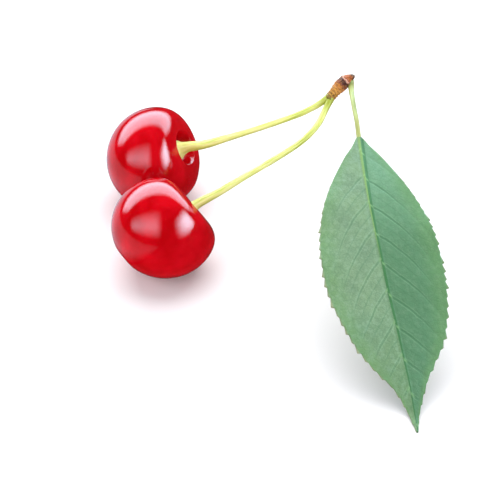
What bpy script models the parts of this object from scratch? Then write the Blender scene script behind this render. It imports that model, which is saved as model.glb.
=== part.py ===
"""A sprig of two ripe sour cherries: two fruits on long stems, joined with one leaf at a short woody spur.

It lies as it was put down. Both fruits stand on a small flat spot at Z = 0, and the tip of the leaf is the
third low place, so the sprig doesn't roll. The origin is the flat spot of the front fruit. -Y is the front.
"""

import bisect
import math

import bmesh
import bpy
from mathutils import Vector

MM = 0.001
UP = Vector((0, 0, 1))

# Fruits: radius at the widest, where each one stands, and the way its stem end points
FRONT_RADIUS = 11.14 * MM
REAR_RADIUS = 11.05 * MM
FRONT_STANDS_AT = Vector((-0.76, -0.15, 0)) * MM
REAR_STANDS_AT = Vector((-3.64, 25.1, 0)) * MM
FRONT_AXIS = Vector((0.782, 0.410, 0.470)).normalized()
REAR_AXIS = Vector((0.873, -0.145, 0.467)).normalized()
# Each fruit grew a little longer along one way than across it
FRONT_LONG_WAY = Vector((0.939, 0.150, -0.308)).normalized()
REAR_LONG_WAY = Vector((0.312, 0.848, 0.429)).normalized()
FRONT_STRETCH = 1.051
REAR_STRETCH = 1.069
FLAT_DEPTH = 0.1 * MM
FRUIT_SEGMENTS = 44
FRUIT_RINGS = 34

# Skin of a fruit, as shares of its radius and angles in radians from the stem end. The stem stands in a pit
SHOULDER_DROP, SHOULDER_SPREAD, SHOULDER_POWER = 0.274, 0.682, 2.95
PIT_DEPTH, PIT_FLOOR_RADIUS, PIT_LIP_RADIUS = 0.217, 0.250, 0.365
SCAR_DROP, SCAR_SPREAD = 0.03, 0.16
SEAM_DROP, SEAM_SPREAD = 0.012, 0.22
OVALNESS = 0.012
FOOT_HEIGHT = 0.545

# Spur: its middle line from the stems to the bud, and its radius by distance along it
SPUR_WAY = ((35.85, 22.82, 29.8), (37.9, 24.4, 31.5), (39.7, 25.3, 32.9), (41.4, 25.4, 33.9))
SPUR_RADII = (
    (0, 0.95),
    (1.5, 1.08),
    (3.0, 1.3),
    (4.2, 1.42),
    (5.4, 1.24),
    (6.4, 0.82),
    (7.2, 0.6),
    (7.5, 0.4),
)
SCAR_RINGS = (2.0, 2.7, 3.4, 5.1)
SCAR_RING_HEIGHT = 0.10 * MM
SCAR_RING_WIDTH = 0.22 * MM
SPUR_SIDES = 16
SPUR_STEP = 0.22 * MM

# Stems: the places each one passes after it leaves its fruit, how far its foot sits beside the fruit's axis,
# and its radius by distance from the foot
FRONT_STEM_WAY = (
    (11.5, 5.0, 17.2),
    (16.8, 7.4, 19.4),
    (22.6, 10.1, 21.6),
    (29.3, 13.6, 24.4),
    (33.0, 16.9, 26.6),
)
FRONT_STEM_END = Vector((35.98, 21.72, 29.85)) * MM
REAR_STEM_WAY = (
    (7.6, 22.9, 16.5),
    (14.0, 22.4, 19.2),
    (20.8, 22.1, 22.1),
    (27.8, 22.0, 25.2),
    (32.0, 22.3, 27.3),
)
REAR_STEM_END = Vector((34.95, 22.85, 29.7)) * MM
FRONT_FOOT_ASIDE = Vector((0.25, -0.2, -0.24)) * MM
FRONT_FOOT_RADII = (
    (0, 2.1),
    (0.4, 1.98),
    (0.9, 1.65),
    (1.4, 1.36),
    (1.9, 1.2),
    (2.8, 1.05),
    (4.4, 0.95),
    (6.6, 0.86),
)
REAR_FOOT_ASIDE = Vector((0, 0, 0))
REAR_FOOT_RADII = (
    (0, 2.4),
    (0.4, 2.2),
    (0.9, 1.8),
    (1.4, 1.5),
    (2.5, 1.22),
    (4.8, 1.06),
    (7.0, 0.98),
    (9.0, 0.92),
)
STEM_SLIM_AT, STEM_SLIM_RADIUS = 16.5, 0.69
STEM_END_RADIUS = 0.68
STEM_END_SWELL = 5.0
STEM_SIDES = 10
STEM_STEP = 2.0 * MM

# Leaf: its stalk, then its midrib from the base of the blade to the tip
STALK_WAY = (
    (40.5, 23.6, 31.5),
    (40.55, 22.2, 31.7),
    (40.7, 19.8, 31.75),
    (41.0, 16.6, 31.2),
    (41.45, 12.9, 30.3),
)
STALK_RADII = ((0, 0.72), (1.2, 0.62), (4.0, 0.54), (12.0, 0.47), (16.0, 0.50))
STALK_STEP = 1.3 * MM
BLADE_WAY = (
    (41.84, 9.53, 28.8),
    (42.64, 0.51, 26.7),
    (43.64, -8.55, 24.3),
    (44.70, -15.36, 21.9),
    (45.80, -21.33, 19.2),
    (47.10, -27.95, 15.6),
    (48.55, -33.70, 11.8),
    (49.88, -39.11, 7.9),
    (51.05, -43.70, 4.5),
    (51.86, -47.80, 1.35),
    (52.35, -52.80, 0.52),
)
BLADE_THICKNESS = 0.6 * MM
LEFT_HALF_WIDTHS = (
    (0, 0.55),
    (0.04, 1.9),
    (0.08, 3.7),
    (0.165, 6.9),
    (0.245, 9.4),
    (0.34, 11.6),
    (0.45, 12.9),
    (0.57, 12.4),
    (0.68, 10.4),
    (0.77, 7.3),
    (0.86, 3.1),
    (0.92, 1.4),
    (1.0, 0.3),
)
RIGHT_HALF_WIDTHS = (
    (0, 0.55),
    (0.04, 2.0),
    (0.09, 4.2),
    (0.17, 7.0),
    (0.26, 9.7),
    (0.35, 11.4),
    (0.45, 12.3),
    (0.55, 12.2),
    (0.65, 11.2),
    (0.75, 8.6),
    (0.846, 3.9),
    (0.93, 1.2),
    (1.0, 0.3),
)
TEETH = 34
TOOTH_DEPTH_SHARE = 0.055
TOOTH_TIP_AT = 0.68
TOOTH_LEAN = 0.45 * MM
FOLD_ANGLE = math.radians(6)
MIDRIB_HALF_WIDTH = 0.55 * MM
MIDRIB_DEPTH = 0.45 * MM
WAVE_HEIGHT = 0.3 * MM
WAVES = 5
BLADE_COLUMNS = (-1, -0.62, -0.28, 0.28, 0.62, 1)


def clear_scene():
    for thing in list(bpy.data.objects):
        bpy.data.objects.remove(thing, do_unlink=True)


def make_material(name, colour, roughness, coat=0.0):
    """A plain finish: the colour is linear red, green and blue."""
    material = bpy.data.materials.new(name)
    material.use_nodes = True
    shader = material.node_tree.nodes["Principled BSDF"]
    shader.inputs["Base Color"].default_value = (*colour, 1)
    shader.inputs["Roughness"].default_value = roughness
    shader.inputs["Metallic"].default_value = 0
    shader.inputs["Coat Weight"].default_value = coat
    return material


def curve_value(knots, values, x):
    """The value at x of the smooth curve through the values at the knots, which are numbers or vectors."""
    last = len(knots) - 1
    x = min(max(x, knots[0]), knots[last])
    low = min(max(bisect.bisect_right(knots, x) - 1, 0), last - 1)
    high = low + 1

    def slope(at):
        before = max(at - 1, 0)
        after = min(at + 1, last)
        return (values[after] - values[before]) / (knots[after] - knots[before])

    span = knots[high] - knots[low]
    t = (x - knots[low]) / span
    start = values[low] * (2 * t**3 - 3 * t**2 + 1) + slope(low) * (span * (t**3 - 2 * t**2 + t))
    end = values[high] * (3 * t**2 - 2 * t**3) + slope(high) * (span * (t**3 - t**2))
    return start + end


def table_value(table, x):
    return curve_value([row[0] for row in table], [row[1] for row in table], x)


def smooth_step(low, high, x):
    t = min(max((x - low) / (high - low), 0.0), 1.0)
    return t * t * (3 - 2 * t)


class Route:
    """A smooth way through points in metres, measured by distance along it."""

    def __init__(self, points):
        self.points = points
        self.knots = [0.0]
        for before, after in zip(points, points[1:]):
            self.knots.append(self.knots[-1] + (after - before).length)
        self.length = self.knots[-1]

    def place(self, distance):
        return curve_value(self.knots, self.points, distance)

    def frame(self, distance):
        """The place there, and the directions ahead, to the right and up."""
        reach = 0.05 * MM
        before = self.place(max(distance - reach, 0))
        after = self.place(min(distance + reach, self.length))
        ahead = (after - before).normalized()
        right = UP.cross(ahead).normalized()
        return self.place(distance), ahead, right, ahead.cross(right)


def even_distances(start, end, step):
    count = max(round((end - start) / step), 1)
    return [start + (end - start) * i / count for i in range(count + 1)]


def round_ring(frame, radius, sides):
    place, _, right, up = frame
    ring = []
    for side in range(sides):
        turn = math.tau * side / sides
        ring.append(place + right * (radius * math.cos(turn)) + up * (radius * math.sin(turn)))
    return ring


def loft(name, rings, material, parent):
    """One closed body through rings of points, each ring with as many points as the first.

    The first half of a ring is the top and the second half runs back below it, so the two halves are split
    into triangles with opposite diagonals: in a thin waved blade both faces then bend along the same lines.
    """
    mesh = bmesh.new()
    loops = [[mesh.verts.new(point) for point in ring] for ring in rings]
    for loop, following in zip(loops, loops[1:]):
        for i in range(len(loop)):
            j = (i + 1) % len(loop)
            if i < len(loop) // 2:
                mesh.faces.new((loop[i], loop[j], following[j]))
                mesh.faces.new((loop[i], following[j], following[i]))
            else:
                mesh.faces.new((loop[i], loop[j], following[i]))
                mesh.faces.new((loop[j], following[j], following[i]))
    mesh.faces.new(reversed(loops[0]))
    mesh.faces.new(loops[-1])
    bmesh.ops.recalc_face_normals(mesh, faces=mesh.faces[:])
    return finish(name, mesh, material, parent)


def finish(name, mesh, material, parent, location=(0, 0, 0)):
    data = bpy.data.meshes.new(name)
    mesh.to_mesh(data)
    mesh.free()
    data.shade_smooth()
    data.set_sharp_from_angle(angle=math.radians(50))
    data.materials.append(material)
    thing = bpy.data.objects.new(name, data)
    bpy.context.scene.collection.objects.link(thing)
    thing.parent = parent
    thing.location = location
    return thing


def skin_point(direction):
    """The place of the skin in a direction from the middle, in shares of the radius; +Z is the stem end."""
    polar = math.acos(max(-1.0, min(1.0, direction.z)))
    turn = math.atan2(direction.y, direction.x)
    shoulder = SHOULDER_DROP * math.exp(-((polar / SHOULDER_SPREAD) ** SHOULDER_POWER))
    scar = SCAR_DROP * math.exp(-(((math.pi - polar) / SCAR_SPREAD) ** 2))
    seam = SEAM_DROP * math.sin(polar) * math.exp(-((turn / SEAM_SPREAD) ** 2))
    oval = OVALNESS * math.sin(polar) ** 2 * math.cos(2 * turn)
    point = direction * (1 - shoulder - scar - seam + oval)
    if point.z > 0:
        point.z -= PIT_DEPTH * smooth_step(PIT_LIP_RADIUS, PIT_FLOOR_RADIUS, math.hypot(point.x, point.y))
    return point


def make_fruit(name, radius, stands_at, axis, long_way, stretch, material, parent):
    """Returns the middle of the fruit. Its lowest part is cut off flat, and it stands there."""
    mesh = bmesh.new()
    bmesh.ops.create_uvsphere(mesh, u_segments=FRUIT_SEGMENTS, v_segments=FRUIT_RINGS, radius=1)
    for vertex in mesh.verts:
        vertex.co = skin_point(vertex.co.normalized()) * radius
    turn = UP.rotation_difference(axis).to_matrix()
    bmesh.ops.rotate(mesh, cent=(0, 0, 0), matrix=turn, verts=mesh.verts)
    for vertex in mesh.verts:
        vertex.co += long_way * (vertex.co.dot(long_way) * (stretch - 1))
    cut_height = min(vertex.co.z for vertex in mesh.verts) + FLAT_DEPTH
    everything = mesh.verts[:] + mesh.edges[:] + mesh.faces[:]
    bmesh.ops.bisect_plane(
        mesh, geom=everything, plane_co=(0, 0, cut_height), plane_no=(0, 0, -1), clear_outer=True
    )
    bmesh.ops.holes_fill(mesh, edges=[edge for edge in mesh.edges if edge.is_boundary])
    bmesh.ops.recalc_face_normals(mesh, faces=mesh.faces[:])
    middle = stands_at - Vector((0, 0, cut_height))
    finish(name, mesh, material, parent, middle)
    return middle


def make_stem(name, middle, radius, axis, aside, foot_radii, way, end, material, parent):
    """A stem from the cavity of its fruit to the spur, with a flared foot and a slightly swollen end."""
    foot = middle + axis * (FOOT_HEIGHT * radius) + aside
    points = [foot, foot + axis * (2.6 * MM)]
    points += [Vector(place) * MM for place in way]
    points.append(end)
    route = Route(points)
    length = route.length / MM
    radii = list(foot_radii)
    radii += [(STEM_SLIM_AT, STEM_SLIM_RADIUS), (length - STEM_END_SWELL, STEM_SLIM_RADIUS)]
    radii += [(length, STEM_END_RADIUS)]
    foot_distances = [row[0] * MM for row in foot_radii[:-1]]
    distances = foot_distances + even_distances(foot_distances[-1], route.length, STEM_STEP)[1:]
    rings = []
    for distance in distances:
        rings.append(round_ring(route.frame(distance), table_value(radii, distance / MM) * MM, STEM_SIDES))
    loft(name, rings, material, parent)


def spur_radius(distance):
    """Thickness of the woody shoot, with the raised rings that old bud scales left."""
    radius = table_value(SPUR_RADII, distance / MM) * MM
    for ring_at in SCAR_RINGS:
        away = (distance - ring_at * MM) / SCAR_RING_WIDTH
        radius += SCAR_RING_HEIGHT * math.exp(-(away**2))
    return radius


def make_spur(material, parent):
    route = Route([Vector(place) * MM for place in SPUR_WAY])
    rings = []
    for distance in even_distances(0, route.length, SPUR_STEP):
        rings.append(round_ring(route.frame(distance), spur_radius(distance), SPUR_SIDES))
    loft("spur", rings, material, parent)


def stalk_ring(frame, radius):
    """A round ring with its points in the blade's order: across the top, then back along the underside."""
    place, _, right, up = frame
    count = 2 * (len(BLADE_COLUMNS) + 3)
    ring = []
    for i in range(count):
        turn = math.pi - math.tau * (i + 0.5) / count
        ring.append(place + right * (radius * math.cos(turn)) + up * (radius * math.sin(turn)))
    return ring


def blade_ring(frame, along, at_tooth_tip):
    """The cross-section of the blade at a share of its length: left edge, over the top, and back below."""
    place, ahead, right, up = frame
    taper = 1 - along
    columns = [column for column in BLADE_COLUMNS if column < 0]
    columns += ["left rib", "middle", "right rib"]
    columns += [column for column in BLADE_COLUMNS if column > 0]
    top = []
    bottom = []
    for column in columns:
        tooth = 0.0
        if column == "middle":
            across = 0.0
        elif column in ("left rib", "right rib"):
            half_width = table_value(LEFT_HALF_WIDTHS, along) * MM
            across = min(MIDRIB_HALF_WIDTH, 0.2 * half_width) * (1 if column == "right rib" else -1)
        else:
            table = LEFT_HALF_WIDTHS if column < 0 else RIGHT_HALF_WIDTHS
            half_width = table_value(table, along) * MM
            if at_tooth_tip and abs(column) == 1:
                tooth = 1.0
                half_width *= 1 + TOOTH_DEPTH_SHARE
            across = column * half_width
        share = min(abs(across) / (12 * MM), 1)
        height = abs(across) * math.tan(FOLD_ANGLE) * min(1.0, 3 * taper)
        height += WAVE_HEIGHT * share**2 * math.sin(math.tau * WAVES * along + (0 if across < 0 else 2))
        point = place + right * across + up * height + ahead * (tooth * TOOTH_LEAN)
        lean = math.copysign(math.sin(FOLD_ANGLE), across) if across else 0.0
        under = up * -math.cos(FOLD_ANGLE) + right * lean
        depth = BLADE_THICKNESS * (1.4 - 0.4 * min(1.0, along / 0.05))
        if column == "middle":
            depth += MIDRIB_DEPTH * taper
        low = point + under * depth
        low.z = max(low.z, 0.0)
        point.z = max(point.z, BLADE_THICKNESS)
        top.append(point)
        bottom.append(low)
    return top + bottom[::-1]


def make_leaf(material, parent):
    """The stalk and the blade in one body. Each tooth has a notch ring and a tip ring."""
    points = [Vector(place) * MM for place in STALK_WAY]
    base_knot = len(points)
    points += [Vector(place) * MM for place in BLADE_WAY]
    route = Route(points)
    base = route.knots[base_knot]
    blade_length = route.length - base
    rings = []
    for distance in even_distances(0, base, STALK_STEP)[:-1]:
        rings.append(stalk_ring(route.frame(distance), table_value(STALK_RADII, distance / MM) * MM))
    for tooth in range(TEETH):
        for share in (0, TOOTH_TIP_AT):
            along = (tooth + share) / TEETH
            frame = route.frame(base + along * blade_length)
            rings.append(blade_ring(frame, along, at_tooth_tip=share > 0))
    rings.append(blade_ring(route.frame(route.length), 1.0, at_tooth_tip=False))
    loft("leaf", rings, material, parent)


def main():
    clear_scene()
    sprig = bpy.data.objects.new("cherry_sprig", None)
    bpy.context.scene.collection.objects.link(sprig)

    skin = make_material("glossy_red_skin", (0.60, 0.004, 0.010), 0.12, coat=1.0)
    stem_green = make_material("yellow_green_stem", (0.62, 0.66, 0.22), 0.45)
    bark = make_material("brown_bark", (0.36, 0.17, 0.05), 0.7)
    leaf_green = make_material("matte_green_leaf", (0.22, 0.38, 0.20), 0.55)

    front = make_fruit(
        "fruit_front", FRONT_RADIUS, FRONT_STANDS_AT, FRONT_AXIS, FRONT_LONG_WAY, FRONT_STRETCH, skin, sprig
    )
    rear = make_fruit(
        "fruit_rear", REAR_RADIUS, REAR_STANDS_AT, REAR_AXIS, REAR_LONG_WAY, REAR_STRETCH, skin, sprig
    )
    front_foot = (front, FRONT_RADIUS, FRONT_AXIS, FRONT_FOOT_ASIDE, FRONT_FOOT_RADII)
    rear_foot = (rear, REAR_RADIUS, REAR_AXIS, REAR_FOOT_ASIDE, REAR_FOOT_RADII)
    make_stem("stem_front", *front_foot, FRONT_STEM_WAY, FRONT_STEM_END, stem_green, sprig)
    make_stem("stem_rear", *rear_foot, REAR_STEM_WAY, REAR_STEM_END, stem_green, sprig)
    make_spur(bark, sprig)
    make_leaf(leaf_green, sprig)


main()
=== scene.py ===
"""A sprig of two ripe sour cherries on a white table: glossy red fruits, pale stems, a woody spur and a leaf.

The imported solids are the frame. Each is replaced by a finer piece in the same place, with its own finish.
"""

import bisect
import math

import bmesh
import bpy
from mathutils import Euler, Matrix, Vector, noise


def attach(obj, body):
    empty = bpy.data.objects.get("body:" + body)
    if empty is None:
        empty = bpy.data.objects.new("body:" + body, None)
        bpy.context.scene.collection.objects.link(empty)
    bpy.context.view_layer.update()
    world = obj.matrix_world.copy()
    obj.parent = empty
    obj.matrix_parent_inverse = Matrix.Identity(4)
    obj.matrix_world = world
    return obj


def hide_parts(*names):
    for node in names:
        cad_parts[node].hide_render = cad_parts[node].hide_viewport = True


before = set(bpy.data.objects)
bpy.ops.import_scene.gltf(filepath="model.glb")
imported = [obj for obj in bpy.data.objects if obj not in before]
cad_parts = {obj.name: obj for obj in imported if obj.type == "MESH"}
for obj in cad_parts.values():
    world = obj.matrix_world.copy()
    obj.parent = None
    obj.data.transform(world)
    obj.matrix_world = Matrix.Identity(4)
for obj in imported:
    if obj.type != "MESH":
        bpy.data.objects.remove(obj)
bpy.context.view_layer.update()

MM = 0.001
MERGE_DISTANCE = 0.001 * MM
UP = Vector((0, 0, 1))
BODY = "root"

# Fruits: radius, where each one stands, the way its stem end points, and the way and share it is longer
FRONT_RADIUS = 11.14 * MM
REAR_RADIUS = 11.05 * MM
FRONT_STANDS_AT = Vector((-0.76, -0.15, 0)) * MM
REAR_STANDS_AT = Vector((-3.64, 25.1, 0)) * MM
FRONT_AXIS = Vector((0.782, 0.410, 0.470)).normalized()
REAR_AXIS = Vector((0.873, -0.145, 0.467)).normalized()
FRONT_LONG_WAY = Vector((0.939, 0.150, -0.308)).normalized()
REAR_LONG_WAY = Vector((0.312, 0.848, 0.429)).normalized()
FRONT_STRETCH = 1.051
REAR_STRETCH = 1.069
FLAT_DEPTH = 0.1 * MM
FRUIT_SEGMENTS = 176
FRUIT_RINGS = 160

# Skin of a fruit, as shares of its radius and angles in radians from the stem end
SHOULDER_DROP, SHOULDER_SPREAD, SHOULDER_POWER = 0.274, 0.682, 2.95
PIT_DEPTH, PIT_FLOOR_RADIUS, PIT_LIP_RADIUS = 0.217, 0.250, 0.365
SCAR_DROP, SCAR_SPREAD = 0.03, 0.16
SEAM_DROP, SEAM_SPREAD = 0.012, 0.22
OVALNESS = 0.012
SKIN_SWELL = 0.05 * MM
SKIN_SWELL_SIZE = 7 * MM
FOOT_HEIGHT = 0.545

# Stems: the places each one passes after it leaves its fruit, and its radius in mm by distance from its foot,
# or by what is left to its end. Heights of ribs, lumps and lobes are in mm, and the twist in radians a mm
FRONT_STEM_WAY = (
    (11.5, 5.0, 17.2),
    (16.8, 7.4, 19.4),
    (22.6, 10.1, 21.6),
    (29.3, 13.6, 24.4),
    (33.0, 16.9, 26.6),
    (35.5, 21.6, 29.1),
    (36.4, 23.3, 30.2),
)
REAR_STEM_WAY = (
    (7.6, 22.9, 16.5),
    (14.0, 22.4, 19.2),
    (20.8, 22.1, 22.1),
    (27.8, 22.0, 25.2),
    (32.0, 22.3, 27.3),
    (35.1, 22.6, 29.6),
    (37.0, 23.8, 30.8),
)
FOOT_SUNK = 0.6
FRONT_FOOT_ASIDE = Vector((0.25, -0.2, -0.24)) * MM
FRONT_FOOT_RADII = (
    (0, 2.2),
    (0.6, 2.25),
    (1.0, 2.05),
    (1.5, 1.65),
    (2.0, 1.36),
    (2.5, 1.2),
    (3.4, 1.05),
    (5.0, 0.95),
    (7.2, 0.86),
)
REAR_FOOT_ASIDE = Vector((0, 0, 0))
REAR_FOOT_RADII = (
    (0, 2.4),
    (0.6, 2.45),
    (1.0, 2.2),
    (1.5, 1.8),
    (2.0, 1.5),
    (3.1, 1.22),
    (5.4, 1.06),
    (7.6, 0.98),
    (9.6, 0.92),
)
STEM_LEAVES_FOOT_AT = 2.6
STEM_SLIM_AT, STEM_SLIM_RADIUS = 17.1, 0.69
STEM_END_RADII = ((6.0, STEM_SLIM_RADIUS), (2.4, 0.76), (0.8, 0.88), (0, 0.80))
STEM_RIBS, STEM_RIB_HEIGHT, STEM_TWIST = 5, 0.025, 0.15
STEM_FINE_RIBS, STEM_FINE_RIB_HEIGHT = 9, 0.012
STEM_LUMP_SIZE, STEM_LUMP_HEIGHT = 2.5, 0.045
FOOT_LOBES, FOOT_LOBE_HEIGHT, FOOT_LOBES_AT, FOOT_LOBE_SPREAD = 4, 0.09, 1.2, 0.8
FRONT_STEM_SEED = 1.3
REAR_STEM_SEED = 4.1
STEM_STATIONS = 230
STEM_SIDES = 32

# Spur: its middle line from the stems to the bud, and its radius in mm by distance along it
SPUR_WAY = ((35.35, 22.4, 29.35), (37.9, 24.4, 31.5), (39.7, 25.3, 32.9), (41.4, 25.4, 33.9))
SPUR_RADII = (
    (0, 0.80),
    (0.4, 1.02),
    (1.4, 1.05),
    (2.3, 1.12),
    (3.7, 1.32),
    (4.9, 1.42),
    (6.1, 1.20),
    (6.9, 0.84),
    (7.6, 0.66),
    (8.0, 0.42),
    (8.25, 0.10),
)
SCAR_RINGS = (0.6, 1.25, 1.9, 2.6, 3.3, 4.0, 5.8)
SCAR_RING_HEIGHT = 0.11 * MM
SCAR_RING_WIDTH = 0.20 * MM
SCAR_RING_TILT = 0.16
BUD_SCALE_LENGTH = 0.95
BUD_SCALE_HEIGHT = 0.12 * MM
BUD_SCALES_FROM, BUD_SCALES_FULL, BUD_SCALES_TO = 3.7, 4.5, 7.1
WRINKLES_FULL_RADIUS = 1.2 * MM
SPUR_STATIONS = 150
SPUR_SIDES = 64

# Wrinkles of the bark: height, and how fast they change along the spur and round it
BARK_WRINKLES = ((0.10 * MM, 1.1, 2.6), (0.035 * MM, 4, 7))

# Leaf stalk: from inside the spur to the base of the blade, then on below the blade as its midrib
STALK_WAY = (
    (40.4, 25.4, 32.6),
    (40.5, 24.6, 31.8),
    (40.55, 22.4, 31.7),
    (40.7, 19.8, 31.75),
    (41.0, 16.6, 31.2),
    (41.45, 12.9, 30.3),
)
STALK_RADII = ((0, 0.80), (1.5, 0.70), (2.7, 0.60), (5.5, 0.54), (13.5, 0.50), (17.5, 0.52))
MIDRIB_RADII = ((0, 0.52), (0.25, 0.42), (0.6, 0.26), (0.93, 0.08))
MIDRIB_ENDS_AT = 0.93
MIDRIB_DROP = 0.42 * MM
STALK_GROOVE_SHARE, STALK_GROOVE_SPREAD = 0.22, 0.45
STALK_GROOVE_FROM, STALK_GROOVE_FULL = 1.0, 3.0
STALK_RIBS, STALK_RIB_SHARE = 6, 0.02
STALK_STATIONS = 330
STALK_SIDES = 24

# Leaf blade: its middle line, and its half-widths in mm on each side by share of its length
BLADE_WAY = (
    (41.84, 9.53, 28.8),
    (42.64, 0.51, 26.7),
    (43.64, -8.55, 24.3),
    (44.70, -15.36, 21.9),
    (45.80, -21.33, 19.2),
    (47.10, -27.95, 15.6),
    (48.55, -33.70, 11.8),
    (49.88, -39.11, 7.9),
    (51.05, -43.70, 4.5),
    (51.86, -47.80, 1.35),
    (52.35, -52.80, 0.52),
)
LEFT_HALF_WIDTHS = (
    (0, 0.55),
    (0.04, 1.9),
    (0.08, 3.7),
    (0.165, 6.9),
    (0.245, 9.4),
    (0.34, 11.6),
    (0.45, 12.9),
    (0.57, 12.4),
    (0.68, 10.4),
    (0.77, 7.3),
    (0.86, 3.1),
    (0.92, 1.4),
    (1.0, 0.15),
)
RIGHT_HALF_WIDTHS = (
    (0, 0.55),
    (0.04, 2.0),
    (0.09, 4.2),
    (0.17, 7.0),
    (0.26, 9.7),
    (0.35, 11.4),
    (0.45, 12.3),
    (0.55, 12.2),
    (0.65, 11.2),
    (0.75, 8.6),
    (0.846, 3.9),
    (0.93, 1.2),
    (1.0, 0.15),
)
BLADE_THICKNESS = 0.36 * MM
CAD_THICKNESS = 0.6 * MM
TEETH = 34
TOOTH_DEPTH_SHARE = 0.045
TOOTH_TIP_AT = 0.68
TOOTH_BULGE = 1.3
TOOTH_LEAN = 0.45 * MM
TOOTH_REACH = 0.06
TEETH_FROM, TEETH_FULL_AT = 0.03, 0.35
POINTS_PER_TOOTH = 12
BLADE_COLUMNS = 84
EDGE_CROWDING = 1.15
FOLD_ANGLE = math.radians(6)
FOLD_FADE_SHARE = 1 / 3
WAVE_HEIGHT = 0.3 * MM
WAVES = 5
WAVE_LAG = 2
WAVE_FULL_AT = 12
TIP_SETTLES_FROM, TIP_SETTLED_AT = 0.75, 0.95

# Relief of the blade. Places across and along it are in mm, and heights in metres
VEIN_PITCH = 7.1
RIGHT_VEINS_FROM = 11.6
LEFT_VEINS_FROM = 10.5
VEIN_SLANT = 1.05
VEIN_CURVE = 0.0041
VEIN_SINK = 0.04 * MM
VEIN_HALF_WIDTH = 0.42
QUILT_HEIGHT = 0.045 * MM
PUCKER_SIZE = 1.3
PUCKER_HEIGHT = 0.05 * MM
RIB_HEIGHT, RIB_SPREAD = 0.10 * MM, 0.30
RIB_GROOVE, RIB_GROOVE_AT, RIB_GROOVE_SPREAD = 0.13 * MM, 0.62, 0.28
RELIEF_FROM, RELIEF_FULL = 0.4, 1.6
RELIEF_TIP_FADE, RELIEF_EDGE_FADE = 0.12, 0.15

# Camera: its height angle over the table, and the pinhole that gives the photograph's frame
CAMERA_AT = Vector((18.04, -370.92, 315.83)) * MM
CAMERA_HEIGHT_ANGLE = math.radians(40)
SENSOR_WIDTH = 36.0
FOCAL_PIXELS = 2180
FRAME_PIXELS = 500


# Shapes shared by the pieces


def curve_value(knots, values, x):
    """The value at x of the smooth curve through the values at the knots, which are numbers or vectors."""
    last = len(knots) - 1
    x = min(max(x, knots[0]), knots[last])
    low = min(max(bisect.bisect_right(knots, x) - 1, 0), last - 1)
    high = low + 1

    def slope(at):
        before = max(at - 1, 0)
        after = min(at + 1, last)
        return (values[after] - values[before]) / (knots[after] - knots[before])

    span = knots[high] - knots[low]
    t = (x - knots[low]) / span
    start = values[low] * (2 * t**3 - 3 * t**2 + 1) + slope(low) * (span * (t**3 - 2 * t**2 + t))
    end = values[high] * (3 * t**2 - 2 * t**3) + slope(high) * (span * (t**3 - t**2))
    return start + end


def table_value(table, x):
    return curve_value([row[0] for row in table], [row[1] for row in table], x)


def bell(distance, spread, power=2):
    """A smooth bump: 1 at no distance, and nearly 0 past two spreads."""
    return math.exp(-(abs(distance / spread) ** power))


def smooth_step(low, high, x):
    t = min(max((x - low) / (high - low), 0.0), 1.0)
    return t * t * (3 - 2 * t)


def in_metres(places):
    return [Vector(place) * MM for place in places]


class Route:
    """A smooth way through points in metres, measured by distance along it."""

    def __init__(self, points):
        self.points = points
        self.knots = [0.0]
        for before, after in zip(points, points[1:]):
            self.knots.append(self.knots[-1] + (after - before).length)
        self.length = self.knots[-1]

    def place(self, distance):
        return curve_value(self.knots, self.points, distance)

    def frame(self, distance):
        """The place there, and the directions ahead, to the right and up."""
        reach = 0.05 * MM
        before = self.place(max(distance - reach, 0))
        after = self.place(min(distance + reach, self.length))
        ahead = (after - before).normalized()
        right = UP.cross(ahead).normalized()
        return self.place(distance), ahead, right, ahead.cross(right)


def close_ends(mesh):
    bmesh.ops.holes_fill(mesh, edges=[edge for edge in mesh.edges if edge.is_boundary])
    bmesh.ops.recalc_face_normals(mesh, faces=mesh.faces[:])


def finish_piece(name, mesh, material, slot, *nodes):
    """Makes the piece from its mesh, and has it ride on the part in place of the CAD nodes."""
    data = bpy.data.meshes.new(name)
    mesh.to_mesh(data)
    mesh.free()
    data.shade_smooth()
    data.materials.append(material)
    piece = bpy.data.objects.new(name, data)
    bpy.context.scene.collection.objects.link(piece)
    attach(piece, BODY)
    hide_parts(*nodes)
    return piece


def tube_mesh(route, radius_at, stations, sides, end=1.0):
    """A closed tube along a share of the route. Its points keep their place on it in mm for the material."""
    mesh = bmesh.new()
    place = mesh.verts.layers.float_vector.new("place")
    to_end = mesh.verts.layers.float.new("to_end")
    bmesh.ops.create_grid(mesh, x_segments=stations, y_segments=sides, size=0.5)
    frames = {}
    for vertex in mesh.verts:
        share = round((vertex.co.x + 0.5) * stations)
        turn = (vertex.co.y + 0.5) * math.tau
        distance = share / stations * end * route.length
        if share not in frames:
            frames[share] = route.frame(distance)
        middle, _, right, up = frames[share]
        radius = radius_at(distance, turn)
        round_x = radius * math.cos(turn)
        round_y = radius * math.sin(turn)
        vertex[place] = Vector((distance, round_x, round_y)) / MM
        vertex[to_end] = (end * route.length - distance) / MM
        vertex.co = middle + right * round_x + up * round_y
    bmesh.ops.remove_doubles(mesh, verts=mesh.verts, dist=MERGE_DISTANCE)
    close_ends(mesh)
    return mesh


# Fruits


def skin_point(direction):
    """The place of the skin in a direction from the middle, in shares of the radius; +Z is the stem end."""
    polar = math.acos(max(-1.0, min(1.0, direction.z)))
    turn = math.atan2(direction.y, direction.x)
    shoulder = SHOULDER_DROP * bell(polar, SHOULDER_SPREAD, SHOULDER_POWER)
    scar = SCAR_DROP * bell(math.pi - polar, SCAR_SPREAD)
    seam = SEAM_DROP * math.sin(polar) * bell(turn, SEAM_SPREAD)
    oval = OVALNESS * math.sin(polar) ** 2 * math.cos(2 * turn)
    point = direction * (1 - shoulder - scar - seam + oval)
    if point.z > 0:
        point.z -= PIT_DEPTH * smooth_step(PIT_LIP_RADIUS, PIT_FLOOR_RADIUS, math.hypot(point.x, point.y))
    return point


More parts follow.
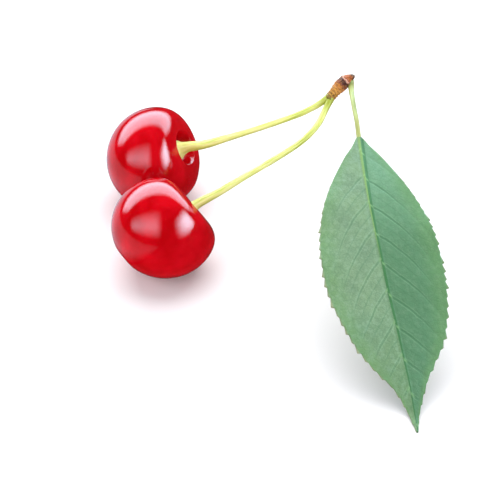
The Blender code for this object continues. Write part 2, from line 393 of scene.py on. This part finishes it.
def make_fruit(name, node, radius, stands_at, axis, long_way, stretch, material):
    """A fruit with its stem cavity, seam and far-end scar. Returns its middle."""
    mesh = bmesh.new()
    place = mesh.verts.layers.float_vector.new("place")
    bmesh.ops.create_uvsphere(mesh, u_segments=FRUIT_SEGMENTS, v_segments=FRUIT_RINGS, radius=1)
    for vertex in mesh.verts:
        direction = vertex.co.normalized()
        lumps = noise.noise(direction * (radius / SKIN_SWELL_SIZE))
        swell = SKIN_SWELL * lumps * math.sin(direction.angle(UP))
        vertex.co = skin_point(direction) * radius + direction * swell
        vertex[place] = vertex.co / MM
    turn = UP.rotation_difference(axis).to_matrix()
    bmesh.ops.rotate(mesh, cent=(0, 0, 0), matrix=turn, verts=mesh.verts)
    for vertex in mesh.verts:
        vertex.co += long_way * (vertex.co.dot(long_way) * (stretch - 1))
    middle = stands_at - Vector((0, 0, min(vertex.co.z for vertex in mesh.verts) + FLAT_DEPTH))
    for vertex in mesh.verts:
        vertex.co += middle
        vertex.co.z = max(vertex.co.z, 0.0)
    finish_piece(name, mesh, material, "cherry_skin", node)
    return middle


# Stems, spur and stalk


def make_stem(name, node, middle, radius, axis, aside, foot_radii, way, seed, material):
    """A stem from the cavity of its fruit into the spur, with a flared foot and fine lengthwise ribs."""
    foot = middle + axis * (FOOT_HEIGHT * radius) + aside
    start = foot - axis * (FOOT_SUNK * MM)
    route = Route([start, foot + axis * (STEM_LEAVES_FOOT_AT * MM)] + in_metres(way))
    length = route.length / MM
    radii = [*foot_radii, (STEM_SLIM_AT, STEM_SLIM_RADIUS)]
    radii += [(length - left, radius_there) for left, radius_there in STEM_END_RADII]

    def radius_at(distance, turn):
        along = distance / MM
        plain = table_value(radii, along)
        ribs = STEM_RIB_HEIGHT * math.cos(STEM_RIBS * turn + STEM_TWIST * along)
        fine_ribs = STEM_FINE_RIB_HEIGHT * math.cos(STEM_FINE_RIBS * turn + seed)
        lumps = noise.noise(Vector((along / STEM_LUMP_SIZE, math.cos(turn), math.sin(turn) + seed)))
        lobes = bell(along - FOOT_LOBES_AT, FOOT_LOBE_SPREAD) * math.cos(FOOT_LOBES * turn + seed)
        return (plain + ribs + fine_ribs + STEM_LUMP_HEIGHT * lumps + FOOT_LOBE_HEIGHT * lobes) * MM

    mesh = tube_mesh(route, radius_at, STEM_STATIONS, STEM_SIDES)
    finish_piece(name, mesh, material, "green_stem", node)


def spur_radius(distance, turn):
    """Bark with raised rings where bud scales fell, lengthwise wrinkles, and lapped scales round the bud."""
    along = distance / MM
    radius = table_value(SPUR_RADII, along) * MM
    for ring_at in SCAR_RINGS:
        tilt = SCAR_RING_TILT * math.cos(turn + ring_at)
        radius += SCAR_RING_HEIGHT * bell(distance - (ring_at + tilt) * MM, SCAR_RING_WIDTH)
    lap = (along / BUD_SCALE_LENGTH + 0.5 * math.cos(2 * turn) + 0.2 * math.sin(3 * turn)) % 1.0
    if along < BUD_SCALES_TO:
        radius += BUD_SCALE_HEIGHT * lap * smooth_step(BUD_SCALES_FROM, BUD_SCALES_FULL, along)
    fade = min(1.0, 0.3 + radius / WRINKLES_FULL_RADIUS)
    for height, ahead, around in BARK_WRINKLES:
        spot = Vector((along * ahead, around * math.cos(turn), around * math.sin(turn)))
        radius += height * noise.noise(spot) * fade
    return radius


def make_spur(material):
    mesh = tube_mesh(Route(in_metres(SPUR_WAY)), spur_radius, SPUR_STATIONS, SPUR_SIDES)
    finish_piece("woody_spur", mesh, material, "spur_bark", "spur")


def make_stalk(material):
    """The leaf stalk, grooved on top. It runs on below the blade as a midrib that thins towards the tip."""
    stalk = in_metres(STALK_WAY)
    below = [place - UP * MIDRIB_DROP for place in in_metres(BLADE_WAY)]
    route = Route(stalk + below)
    base = route.knots[len(stalk)]
    blade_length = route.length - base
    end = (base + MIDRIB_ENDS_AT * blade_length) / route.length

    def radius_at(distance, turn):
        if distance < base:
            plain = table_value(STALK_RADII, distance / MM)
        else:
            plain = table_value(MIDRIB_RADII, (distance - base) / blade_length)
        groove = STALK_GROOVE_SHARE * bell(turn - math.pi / 2, STALK_GROOVE_SPREAD)
        groove *= smooth_step(STALK_GROOVE_FROM, STALK_GROOVE_FULL, distance / MM)
        ribs = STALK_RIB_SHARE * math.cos(STALK_RIBS * turn)
        return plain * (1 - groove + ribs) * MM

    mesh = tube_mesh(route, radius_at, STALK_STATIONS, STALK_SIDES, end)
    finish_piece("leaf_stalk", mesh, material, "leaf_blade", "leaf")


# Leaf blade


def tooth_rise(along):
    """How far the edge stands out: a slow rise to each uneven tooth's tip and a quick drop behind it."""
    tooth = math.floor(along * TEETH)
    phase = along * TEETH - tooth
    if phase < TOOTH_TIP_AT:
        rise = (phase / TOOTH_TIP_AT) ** TOOTH_BULGE
    else:
        rise = 1 - (phase - TOOTH_TIP_AT) / (1 - TOOTH_TIP_AT)
    size = 0.75 + 0.3 * math.sin(2.4 * tooth) + 0.15 * math.sin(5.3 * tooth)
    return rise * size * smooth_step(TEETH_FROM, TEETH_FULL_AT, along)


def vein_distance(along_mm, across_mm):
    """How far a place on the blade is from the nearest side vein, in mm along the blade."""
    first = RIGHT_VEINS_FROM if across_mm > 0 else LEFT_VEINS_FROM
    reach = abs(across_mm)
    rooted_at = along_mm - VEIN_SLANT * reach - VEIN_CURVE * reach**3
    steps = (rooted_at - first) / VEIN_PITCH
    return abs(steps - round(steps)) * VEIN_PITCH


def blade_relief(along, along_mm, across_mm, half_width):
    """Height over the plain sheet in metres: midrib and its grooves, side veins and quilting between them."""
    reach = abs(across_mm)
    taper = 1 - along
    rib = RIB_HEIGHT * taper * bell(reach, RIB_SPREAD)
    rib -= RIB_GROOVE * taper * bell(reach - RIB_GROOVE_AT, RIB_GROOVE_SPREAD)
    away = vein_distance(along_mm, across_mm)
    body = smooth_step(RELIEF_FROM, RELIEF_FULL, reach) * smooth_step(0, RELIEF_TIP_FADE, taper)
    body *= smooth_step(0, RELIEF_EDGE_FADE, 1 - reach / half_width)
    vein = -VEIN_SINK * bell(away, VEIN_HALF_WIDTH)
    quilt = QUILT_HEIGHT * math.sin(math.pi * min(away / (VEIN_PITCH / 2), 1.0) / 2)
    pucker = PUCKER_HEIGHT * noise.noise(Vector((along_mm, across_mm, 0)) / PUCKER_SIZE)
    return rib + (vein + quilt + pucker) * body


def make_blade(material):
    """The leaf blade: a folded, waved sheet with teeth, and the rib and veins as relief on both faces.

    It is thinner than its solid, so its tip settles by the difference to lie on the table.
    """
    route = Route(in_metres(BLADE_WAY))
    stations = TEETH * POINTS_PER_TOOTH
    mesh = bmesh.new()
    place = mesh.verts.layers.float_vector.new("place")
    bmesh.ops.create_grid(mesh, x_segments=stations, y_segments=BLADE_COLUMNS, size=0.5)
    frames = {}
    for vertex in mesh.verts:
        station = round((vertex.co.x + 0.5) * stations)
        side = 2 * vertex.co.y
        column = math.copysign(abs(side) ** EDGE_CROWDING, side)
        along = station / stations
        if station not in frames:
            left = table_value(LEFT_HALF_WIDTHS, along)
            right = table_value(RIGHT_HALF_WIDTHS, along)
            frames[station] = route.frame(along * route.length), left, right
        (middle, ahead, aside, up), left, right = frames[station]
        half_width = left if column < 0 else right
        tooth = tooth_rise(along) * smooth_step(1 - TOOTH_REACH, 1, abs(column))
        across = column * half_width * (1 + TOOTH_DEPTH_SHARE * tooth)
        share = min(abs(across) / WAVE_FULL_AT, 1)
        lag = 0 if across < 0 else WAVE_LAG
        height = abs(across) * MM * math.tan(FOLD_ANGLE) * min(1.0, (1 - along) / FOLD_FADE_SHARE)
        height += WAVE_HEIGHT * share**2 * math.sin(math.tau * WAVES * along + lag)
        along_mm = along * route.length / MM
        height += blade_relief(along, along_mm, across, half_width)
        vertex[place] = Vector((along_mm, across, half_width))
        vertex.co = middle + aside * (across * MM) + up * height + ahead * (tooth * TOOTH_LEAN)
        settle = (CAD_THICKNESS - BLADE_THICKNESS) * smooth_step(TIP_SETTLES_FROM, TIP_SETTLED_AT, along)
        vertex.co.z = max(vertex.co.z - settle, BLADE_THICKNESS)
    bmesh.ops.recalc_face_normals(mesh, faces=mesh.faces[:])
    if sum(face.normal.z for face in mesh.faces) < 0:
        bmesh.ops.reverse_faces(mesh, faces=mesh.faces[:])
    piece = finish_piece("leaf_blade", mesh, material, "leaf_blade", "leaf")
    wall = piece.modifiers.new("thickness", "SOLIDIFY")
    wall.thickness = BLADE_THICKNESS
    wall.offset = -1


# Materials

# They read each point's place on its own piece in mm: from a fruit's middle with its axis up, along and
# across a tube, or along and across the leaf with the half-width there. Tubes also hold how far the end is
SMOOTH = {"interpolation_type": "SMOOTHSTEP"}
COLOURS = {"data_type": "RGBA"}
TO_EDGE = {"feature": "DISTANCE_TO_EDGE"}
ADD = {"operation": "ADD"}
SUBTRACT = {"operation": "SUBTRACT"}
MULTIPLY = {"operation": "MULTIPLY"}
MULTIPLY_ADD = {"operation": "MULTIPLY_ADD"}
DIVIDE = {"operation": "DIVIDE"}
ABSOLUTE = {"operation": "ABSOLUTE"}
PINGPONG = {"operation": "PINGPONG"}

BARK_COLOURS_AND_PAINTED_GLINT = (
    (0.04, "6E6414"),
    (0.12, "A87A20"),
    (0.34, "CC8C34"),
    (0.52, "B8702C"),
    (0.57, "7A3018"),
    (0.62, "3E1006"),
    (0.69, "4A160A"),
    # A painted highlight: this pinkish stop is a glint in a band round the spur
    (0.74, "DCA48C"),
    (0.79, "A04810"),
    (0.88, "B45E24"),
    (0.96, "38200E"),
)


def linear(hex_colour):
    """The linear colour of an sRGB hex value such as D2000F."""
    channels = []
    for start in (0, 2, 4):
        value = int(hex_colour[start : start + 2], 16) / 255
        channels.append(value / 12.92 if value <= 0.04045 else ((value + 0.055) / 1.055) ** 2.4)
    return (*channels, 1.0)


def set_inputs(owner, node, **inputs):
    """Sets a node's inputs, by name or as i and a number, to a value, or links them to a socket or a node."""
    for name, value in inputs.items():
        numbered = name[0] == "i" and name[1:].isdigit()
        socket = node.inputs[int(name[1:])] if numbered else node.inputs[name.replace("_", " ")]
        if isinstance(value, bpy.types.Node):
            value = next(output for output in value.outputs if output.enabled)
        if isinstance(value, bpy.types.NodeSocket):
            owner.node_tree.links.new(value, socket)
        else:
            socket.default_value = value


def add_node(owner, kind, settings=None, **inputs):
    """Adds a shader node, such as Math, to a material or the world, with its settings and inputs."""
    node = owner.node_tree.nodes.new("ShaderNode" + kind)
    for name, value in (settings or {}).items():
        setattr(node, name, value)
    set_inputs(owner, node, **inputs)
    return node


def tinted(material, colour, *tints):
    """Lays tints over a colour. Each grows from none to its depth as a measure goes between two values."""
    for measure, none_at, full_at, depth, over in tints:
        span = {"From_Min": none_at, "From_Max": full_at, "To_Max": depth}
        share = add_node(material, "MapRange", SMOOTH, Value=measure, **span)
        colour = add_node(material, "Mix", COLOURS, Factor=share, i6=colour, i7=linear(over))
    return colour


def new_material(name):
    """An empty material with its shader, whose inputs the caller sets."""
    material = bpy.data.materials.new(name)
    material.use_nodes = True
    return material, material.node_tree.nodes["Principled BSDF"]


def colour_stops(node, stops):
    """Fills a colour ramp with (place, hex colour) stops."""
    ramp = node.color_ramp
    while len(ramp.elements) < len(stops):
        ramp.elements.new(0.5)
    for element, (position, colour) in zip(ramp.elements, stops):
        element.position = position
        element.color = linear(colour)


def cherry_skin():
    """Ripe sour cherry skin: a taut waxy film over clear red flesh, so deep red with bright reflections."""
    material, shader = new_material("waxy_cherry_skin")
    place = add_node(material, "Attribute", {"attribute_name": "place"}).outputs["Vector"]
    patches = add_node(material, "TexNoise", Vector=place, Scale=0.22, Detail=2.0, Roughness=0.5)
    colour = add_node(material, "ValToRGB", Fac=patches)
    colour_stops(colour, ((0.35, "AE0008"), (0.65, "C60616")))
    # Breathing pores are pale dots about 0.15 mm across and 1 mm apart
    pores = add_node(material, "TexVoronoi", Vector=place, Scale=0.95, Randomness=1.0)
    # The flower's scar is a brown dot at the far end, at the lowest place along the fruit's own axis
    far_end = (0, 0, -10.6)
    to_scar = add_node(material, "VectorMath", {"operation": "DISTANCE"}, i0=place, i1=far_end)
    tints = ((pores, 0.10, 0.04, 0.16, "E8703C"), (to_scar, 0.95, 0.55, 1.0, "5A2A14"))
    colour = tinted(material, colour, *tints)
    ripple = add_node(material, "TexNoise", Vector=place, Scale=1.6, Detail=3.0, Roughness=0.55)
    bump = add_node(material, "Bump", Height=ripple, Strength=0.10, Distance=0.00012)
    set_inputs(
        material,
        shader,
        Base_Color=colour,
        Roughness=0.32,
        IOR=1.40,
        Specular_IOR_Level=0.0,
        Subsurface_Weight=0.25,
        Subsurface_Radius=(1.0, 0.08, 0.05),
        Subsurface_Scale=0.0016,
        Coat_Weight=1.0,
        Coat_Roughness=0.055,
        Coat_IOR=1.40,
        Coat_Normal=bump,
    )
    return material


def stem_skin():
    """A fresh cherry stalk: smooth waxy yellow-green, streaked along its fibres, greener at the spur, with
    painted shade on its underside.
    """
    material, shader = new_material("fresh_green_stalk")
    place = add_node(material, "Attribute", {"attribute_name": "place"}).outputs["Vector"]
    fibre = add_node(material, "Mapping", Vector=place, Scale=(0.12, 1.6, 1.6))
    streaks = add_node(material, "TexNoise", Vector=fibre, Scale=1.0, Detail=3.0, Roughness=0.6)
    colour = add_node(material, "ValToRGB", Fac=streaks)
    colour_stops(colour, ((0.30, "A8B640"), (0.48, "D6DA72"), (0.70, "ECEAA0")))
    parts = add_node(material, "SeparateXYZ", Vector=place)
    from_foot = parts.outputs["X"]
    height = parts.outputs["Z"]
    to_spur = add_node(material, "Attribute", {"attribute_name": "to_end"}).outputs["Fac"]
    # Painted shade darkens the underside; then a green end at the spur, and a pale foot with a thin dry brown
    # rim
    tints = (
        (height, 0.15, -0.75, 0.6, "8C9A34"),
        (to_spur, 6.5, 2.0, 0.85, "98A020"),
        (from_foot, 4.0, 0.8, 0.85, "F4FF9E"),
        (from_foot, 0.95, 0.6, 1.0, "C8843A"),
    )
    colour = tinted(material, colour, *tints)
    bump = add_node(material, "Bump", Height=streaks, Strength=0.5, Distance=0.0001)
    set_inputs(
        material,
        shader,
        Base_Color=colour,
        Normal=bump,
        Roughness=0.42,
        IOR=1.45,
        Subsurface_Weight=0.2,
        Subsurface_Radius=(1.0, 0.9, 0.3),
        Subsurface_Scale=0.0006,
    )
    return material


def spur_bark():
    """Young cherry bark on a fruiting spur: thin, ochre to maroon, ringed by the scars of old bud scales,
    with a painted pinkish highlight round it past the maroon.
    """
    material, shader = new_material("young_cherry_bark")
    place = add_node(material, "Attribute", {"attribute_name": "place"}).outputs["Vector"]
    parts = add_node(material, "SeparateXYZ", Vector=place)
    blotches = add_node(material, "TexNoise", Vector=place, Scale=1.3, Detail=4.0, Roughness=0.6)
    moved = add_node(material, "Math", MULTIPLY_ADD, i0=blotches, i1=2.0, i2=-1.0)
    along = add_node(material, "Math", ADD, i0=parts.outputs["X"], i1=moved)
    share = add_node(material, "Math", DIVIDE, i0=along, i1=8.2)
    colour = add_node(material, "ValToRGB", Fac=share)
    colour_stops(colour, BARK_COLOURS_AND_PAINTED_GLINT)
    # Old scales lift off in ragged flakes that show paler bark, and the fallen ones left thin dark rings
    flakes = add_node(material, "TexNoise", Vector=place, Scale=1.9, Detail=3.0, Roughness=0.7)
    to_ring = add_node(material, "Math", PINGPONG, i0=along, i1=0.36)
    tints = ((flakes, 0.50, 0.62, 0.55, "C08040"), (to_ring, 0.16, 0.03, 0.8, "4A2608"))
    colour = tinted(material, colour, *tints)
    grain = add_node(material, "TexNoise", Vector=place, Scale=5.0, Detail=4.0, Roughness=0.7)
    bump = add_node(material, "Bump", Height=grain, Strength=0.7, Distance=0.00015)
    set_inputs(material, shader, Base_Color=colour, Normal=bump, Roughness=0.5, Specular_IOR_Level=0.3)
    return material


def leaf_skin():
    """A cherry leaf: thin, matte, grey-green with a faint sheen and a painted sheen on its left half, dark
    side veins and a fine net between.
    """
    material, shader = new_material("matte_cherry_leaf")
    place = add_node(material, "Attribute", {"attribute_name": "place"}).outputs["Vector"]
    along, across, half_width = add_node(material, "SeparateXYZ", Vector=place).outputs
    sheet = add_node(material, "CombineXYZ", X=along, Y=across)
    reach = add_node(material, "Math", ABSOLUTE, i0=across)
    on_right = add_node(material, "Math", {"operation": "GREATER_THAN"}, i0=across, i1=0.0)
    to_edge = add_node(material, "Math", DIVIDE, i0=reach, i1=half_width)

    # The left half is painted paler and greyer than the right, a painted sheen. It turns greener towards the
    # tip, and the right half from grey-green to a deeper green
    patches = add_node(material, "TexNoise", Vector=sheet, Scale=0.16, Detail=3.0, Roughness=0.5)
    left = add_node(material, "ValToRGB", Fac=patches)
    colour_stops(left, ((0.3, "5A704E"), (0.7, "6B825B")))
    left = tinted(material, left, (along, 38, 62, 0.6, "4E6A38"))
    right = tinted(material, linear("587E58"), (along, 8, 34, 1.0, "446A44"))
    colour = add_node(material, "Mix", COLOURS, Factor=on_right, i6=left, i7=right)

    # The edge is a fresher green. Pale specks mottle the blade, deeper on the left half, where they add to
    # its painted sheen
    specks = add_node(material, "TexNoise", Vector=sheet, Scale=0.8, Detail=4.0, Roughness=0.65)
    speck_and_sheen_depth = add_node(material, "Math", MULTIPLY_ADD, i0=on_right, i1=-0.16, i2=0.28)
    tints = ((to_edge, 0.55, 1.0, 0.55, "567C3C"), (specks, 0.42, 0.70, speck_and_sheen_depth, "8CA080"))
    colour = tinted(material, colour, *tints)

    # The fine net has cells about 1.4 mm and 0.5 mm across, each with a darker edge
    net = 0.0
    for scale, width, depth in ((0.7, 0.13, 0.15), (1.9, 0.16, 0.16)):
        cells = add_node(material, "TexVoronoi", TO_EDGE, Vector=sheet, Scale=scale)
        span = {"From_Min": width, "From_Max": 0.0, "To_Max": depth}
        walls = add_node(material, "MapRange", SMOOTH, Value=cells, **span)
        net = add_node(material, "Math", ADD, i0=walls, i1=net)
    colour = add_node(material, "Mix", COLOURS, Factor=net, i6=colour, i7=linear("385A34"))

    # Side veins leave the midrib at a slant and curve towards the tip
    wander = add_node(material, "TexNoise", Vector=sheet, Scale=0.25, Detail=2.0)
    wandered = add_node(material, "Math", MULTIPLY_ADD, i0=wander, i1=0.9, i2=-0.45)
    cubed = add_node(material, "Math", {"operation": "POWER"}, i0=reach, i1=3.0)
    slanted = add_node(material, "Math", MULTIPLY_ADD, i0=reach, i1=-VEIN_SLANT, i2=along)
    curved = add_node(material, "Math", MULTIPLY_ADD, i0=cubed, i1=-VEIN_CURVE, i2=slanted)
    first_step = LEFT_VEINS_FROM - RIGHT_VEINS_FROM
    first = add_node(material, "Math", MULTIPLY_ADD, i0=on_right, i1=first_step, i2=-LEFT_VEINS_FROM)
    past_first = add_node(material, "Math", ADD, i0=curved, i1=first)
    rooted = add_node(material, "Math", ADD, i0=past_first, i1=wandered)
    away = add_node(material, "Math", PINGPONG, i0=rooted, i1=VEIN_PITCH / 2)
    past_side = add_node(material, "Math", SUBTRACT, i0=away, i1=0.5)
    beside = add_node(material, "Math", ABSOLUTE, i0=past_side)
    half_way_on = add_node(material, "Math", ADD, i0=rooted, i1=VEIN_PITCH / 2)
    between = add_node(material, "Math", PINGPONG, i0=half_way_on, i1=VEIN_PITCH / 2)

    # Each is a dark line with a pale side, with a fainter line half-way to the next, and all fade outwards
    started = add_node(material, "MapRange", SMOOTH, Value=rooted, From_Min=-1.0, From_Max=0.0)
    not_edge = add_node(material, "MapRange", SMOOTH, Value=to_edge, From_Min=0.92, From_Max=0.35)
    kept = add_node(material, "Math", MULTIPLY, i0=started, i1=not_edge)
    dark_depth = add_node(material, "Math", MULTIPLY_ADD, i0=on_right, i1=0.35, i2=0.35)
    lines = (
        (beside, 0.28, 0.08, 0.12, "8CAC84"),
        (between, 0.34, 0.10, 0.28, "2E5A30"),
        (away, 0.42, 0.16, dark_depth, "2E5A30"),
    )
    for measure, none_at, full_at, strength, over in lines:
        depth = add_node(material, "Math", MULTIPLY, i0=kept, i1=strength)
        colour = tinted(material, colour, (measure, none_at, full_at, depth, over))

    # The midrib is painted two-tone as light falls on it: a dark groove of painted shade, and beside it a
    # pale rib, partly its own paler colour and partly painted light, that fades out by mid-leaf.
    # Each strip has its middle's distance to the right, its half-width and its depth, which go between two
    # values at two places along the blade
    strips = (
        ((0, 32, 0.52, 0.10), (30, 72, 0.46, 0.16), (0, 1, 0.95, 0.95), 0.40, "22541A"),
        ((0, 1, -0.10, -0.10), (0, 26, 0.40, 0.14), (22, 36, 0.9, 0.0), 0.50, "6C8A3E"),
    )
    for *spans, full_at, over in strips:
        measures = []
        for low, high, at_low, at_high in spans:
            span = {"From_Min": low, "From_Max": high, "To_Min": at_low, "To_Max": at_high}
            measures.append(add_node(material, "MapRange", SMOOTH, Value=along, **span))
        middle, half, depth = measures
        aside = add_node(material, "Math", SUBTRACT, i0=across, i1=middle)
        distance = add_node(material, "Math", ABSOLUTE, i0=aside)
        share_out = add_node(material, "Math", DIVIDE, i0=distance, i1=half)
        colour = tinted(material, colour, (share_out, 1.0, full_at, depth, over))

    # Pale spots show where the side veins join the midrib
    span = {"From_Min": 0.5, "From_Max": 0.1, "To_Max": 0.35}
    on_vein = add_node(material, "MapRange", SMOOTH, Value=away, **span)
    colour = tinted(material, colour, (reach, 0.9, 0.3, on_vein, "8CB070"))

    # The edge is painted paler, pinkish cream on the left and browner on the right
    left_depth = add_node(material, "Math", MULTIPLY_ADD, i0=on_right, i1=-0.5, i2=0.5)
    right_depth = add_node(material, "Math", MULTIPLY, i0=on_right, i1=0.5)
    rims = ((to_edge, 0.985, 1.03, left_depth, "B0A888"), (to_edge, 0.985, 1.03, right_depth, "6C7444"))
    colour = tinted(material, colour, *rims)

    sunk_net = add_node(material, "Math", MULTIPLY, i0=net, i1=-1.0)
    bump = add_node(material, "Bump", Height=sunk_net, Strength=0.45, Distance=0.0002)
    set_inputs(
        material,
        shader,
        Base_Color=colour,
        Normal=bump,
        Roughness=0.55,
        IOR=1.42,
        Subsurface_Weight=0.12,
        Subsurface_Radius=(0.5, 1.0, 0.2),
        Subsurface_Scale=0.0004,
        Sheen_Weight=0.08,
        Sheen_Roughness=0.4,
    )
    return material


def leaf_stalk_skin():
    """A cherry leaf stalk: waxy pale green, streaked with olive along its fibres."""
    material, shader = new_material("pale_leaf_stalk")
    place = add_node(material, "Attribute", {"attribute_name": "place"}).outputs["Vector"]
    fibre = add_node(material, "Mapping", Vector=place, Scale=(0.15, 2.0, 2.0))
    streaks = add_node(material, "TexNoise", Vector=fibre, Scale=1.0, Detail=3.0, Roughness=0.6)
    colour = add_node(material, "ValToRGB", Fac=streaks)
    colour_stops(colour, ((0.32, "7F8743"), (0.52, "9FA459"), (0.70, "B1B06D")))
    bump = add_node(material, "Bump", Height=streaks, Strength=0.5, Distance=0.0001)
    set_inputs(material, shader, Base_Color=colour, Normal=bump, Roughness=0.45, IOR=1.45)
    return material


# Table, light and camera

TABLE_HALF_WIDTH = 2.0
TABLE_SINK = 0.02 * MM
ROOM_COLOUR = (0.95, 0.94, 1.0, 1)
ROOM_MATT, ROOM_GLOSSY = 0.42, 0.05

# Light panels: name, the way to it, width, height in metres, and radiance
PANEL_DISTANCE = 1.2
LIGHT_PANELS = (
    ("sky_light", (0.05, 0.45, 0.88), 1.6, 1.4, 3.0),
    ("left_fill", (-0.8, -0.35, 0.5), 1.1, 1.1, 1.8),
    ("front_fill", (0.35, -0.85, 0.4), 1.4, 0.9, 1.5),
)

# Light cards: name, a low corner, the ways along and up, radiance, and softness left, right, low and top
CARD_COLOUR = (0.55, 0.85, 1.0, 1)
LIGHT_CARDS = (
    ("rear_card", (-1.5, 0.6, 0.08), (2.3, 0, 0), (0, -0.384, 0.474), 11.0, (0.35, 0.12, 0.3, 0.28)),
    ("left_card", (-1.9, -0.74, 0.12), (1.93, 0, 0), (0, 0.62, 0.63), 7.0, (0.5, 0.1, 0.5, 0.6)),
    ("right_card", (0.5, -0.9, 0.06), (0.42, 0.95, 0.05), (-0.14, 0.31, 0.7), 29.0, (0.55, 0.35, 0.45, 0.45)),
    ("low_card", (-0.4, -0.25, 0.0005), (0.389, 0, 0), (0, 0.65, 0), 1.15, (0.85, 0.03, 0.45, 0.3)),
)


def stage_sheet(name, mesh, material):
    data = bpy.data.meshes.new(name)
    mesh.to_mesh(data)
    mesh.free()
    data.materials.append(material)
    sheet = bpy.data.objects.new(name, data)
    bpy.context.scene.collection.objects.link(sheet)
    return sheet


def make_table():
    """A white paper surface that runs out of sight. The glossy skins reflect the cards and not the paper."""
    mesh = bmesh.new()
    bmesh.ops.create_grid(mesh, x_segments=1, y_segments=1, size=TABLE_HALF_WIDTH)
    bmesh.ops.translate(mesh, vec=(0, 0, -TABLE_SINK), verts=mesh.verts)
    material, shader = new_material("white_paper")
    set_inputs(material, shader, Base_Color=linear("F4F4F6"), Roughness=0.9, Specular_IOR_Level=0.0)
    table = stage_sheet("white_table", mesh, material)
    table.visible_glossy = False


def add_panel(name, direction, width, height, radiance):
    """A rectangular soft light that faces the sprig and lights the matt surfaces only."""
    light = bpy.data.lights.new(name, "AREA")
    light.shape = "RECTANGLE"
    light.size = width
    light.size_y = height
    light.energy = radiance * math.pi * width * height
    panel = bpy.data.objects.new(name, light)
    bpy.context.scene.collection.objects.link(panel)
    way = Vector(direction).normalized()
    panel.location = way * PANEL_DISTANCE
    panel.rotation_euler = way.to_track_quat("Z", "Y").to_euler()
    panel.visible_glossy = False
    panel.visible_camera = False


def card_glow(name, radiance, softness):
    """The cool white of a softbox, which fades over a share of its width or height at each of its edges."""
    material, shader = new_material(name)
    across = add_node(material, "TexCoord").outputs["UV"]
    parts = add_node(material, "SeparateXYZ", Vector=across)
    glow = radiance
    for axis, at_start, at_end in (("X", softness[0], softness[1]), ("Y", softness[2], softness[3])):
        for dark, bright in ((0.0, at_start), (1.0, 1 - at_end)):
            measure = parts.outputs[axis]
            fade = add_node(material, "MapRange", SMOOTH, Value=measure, From_Min=dark, From_Max=bright)
            glow = add_node(material, "Math", MULTIPLY, i0=fade, i1=glow)
    set_inputs(material, shader, Base_Color=(0, 0, 0, 1), Specular_IOR_Level=0.0)
    set_inputs(material, shader, Emission_Color=CARD_COLOUR, Emission_Strength=glow)
    return material


def add_card(name, corner, to_right, to_top, radiance, softness):
    """A softbox that shows only as a bright shape on glossy skin, with a softness for each of its edges."""
    mesh = bmesh.new()
    mesh.loops.layers.uv.new("card")
    bmesh.ops.create_grid(mesh, x_segments=1, y_segments=1, size=0.5, calc_uvs=True)
    for vertex in mesh.verts:
        right_share = vertex.co.x + 0.5
        top_share = vertex.co.y + 0.5
        vertex.co = Vector(corner) + Vector(to_right) * right_share + Vector(to_top) * top_share
    card = stage_sheet(name, mesh, card_glow(name, radiance, softness))
    card.visible_camera = False
    card.visible_diffuse = False
    card.visible_transmission = False
    card.visible_shadow = False


def make_lights():
    """Panels that light the matt surfaces, and cards that the glossy skin reflects as soft bright shapes."""
    for panel in LIGHT_PANELS:
        add_panel(*panel)
    for card in LIGHT_CARDS:
        add_card(*card)
    world = bpy.data.worlds.new("pale_studio")
    world.use_nodes = True
    # The room is bright for matt surfaces and dim in reflections
    reflected = add_node(world, "LightPath").outputs["Is Glossy Ray"]
    bright = add_node(world, "MapRange", Value=reflected, To_Min=ROOM_MATT, To_Max=ROOM_GLOSSY)
    set_inputs(world, world.node_tree.nodes["Background"], Color=ROOM_COLOUR, Strength=bright)
    bpy.context.scene.world = world
    bpy.context.scene.view_settings.view_transform = "Standard"


def make_camera():
    """Looks down on the sprig, fruits at the left, with the leaf hanging towards the viewer at the right."""
    camera = bpy.data.cameras.new("camera")
    camera.sensor_width = SENSOR_WIDTH
    camera.lens = SENSOR_WIDTH * FOCAL_PIXELS / FRAME_PIXELS
    camera.clip_start = 0.01
    holder = bpy.data.objects.new("camera", camera)
    holder.location = CAMERA_AT
    holder.rotation_euler = Euler((math.pi / 2 - CAMERA_HEIGHT_ANGLE, 0, 0))
    bpy.context.scene.collection.objects.link(holder)
    bpy.context.scene.camera = holder


def main():
    skin = cherry_skin()
    green = stem_skin()
    front_form = (FRONT_RADIUS, FRONT_STANDS_AT, FRONT_AXIS, FRONT_LONG_WAY, FRONT_STRETCH)
    rear_form = (REAR_RADIUS, REAR_STANDS_AT, REAR_AXIS, REAR_LONG_WAY, REAR_STRETCH)
    front = make_fruit("front_cherry", "fruit_front", *front_form, skin)
    rear = make_fruit("rear_cherry", "fruit_rear", *rear_form, skin)
    front_foot = (front, FRONT_RADIUS, FRONT_AXIS, FRONT_FOOT_ASIDE, FRONT_FOOT_RADII)
    rear_foot = (rear, REAR_RADIUS, REAR_AXIS, REAR_FOOT_ASIDE, REAR_FOOT_RADII)
    make_stem("front_stem", "stem_front", *front_foot, FRONT_STEM_WAY, FRONT_STEM_SEED, green)
    make_stem("rear_stem", "stem_rear", *rear_foot, REAR_STEM_WAY, REAR_STEM_SEED, green)
    make_spur(spur_bark())
    make_blade(leaf_skin())
    make_stalk(leaf_stalk_skin())
    make_table()
    make_lights()
    make_camera()


main()
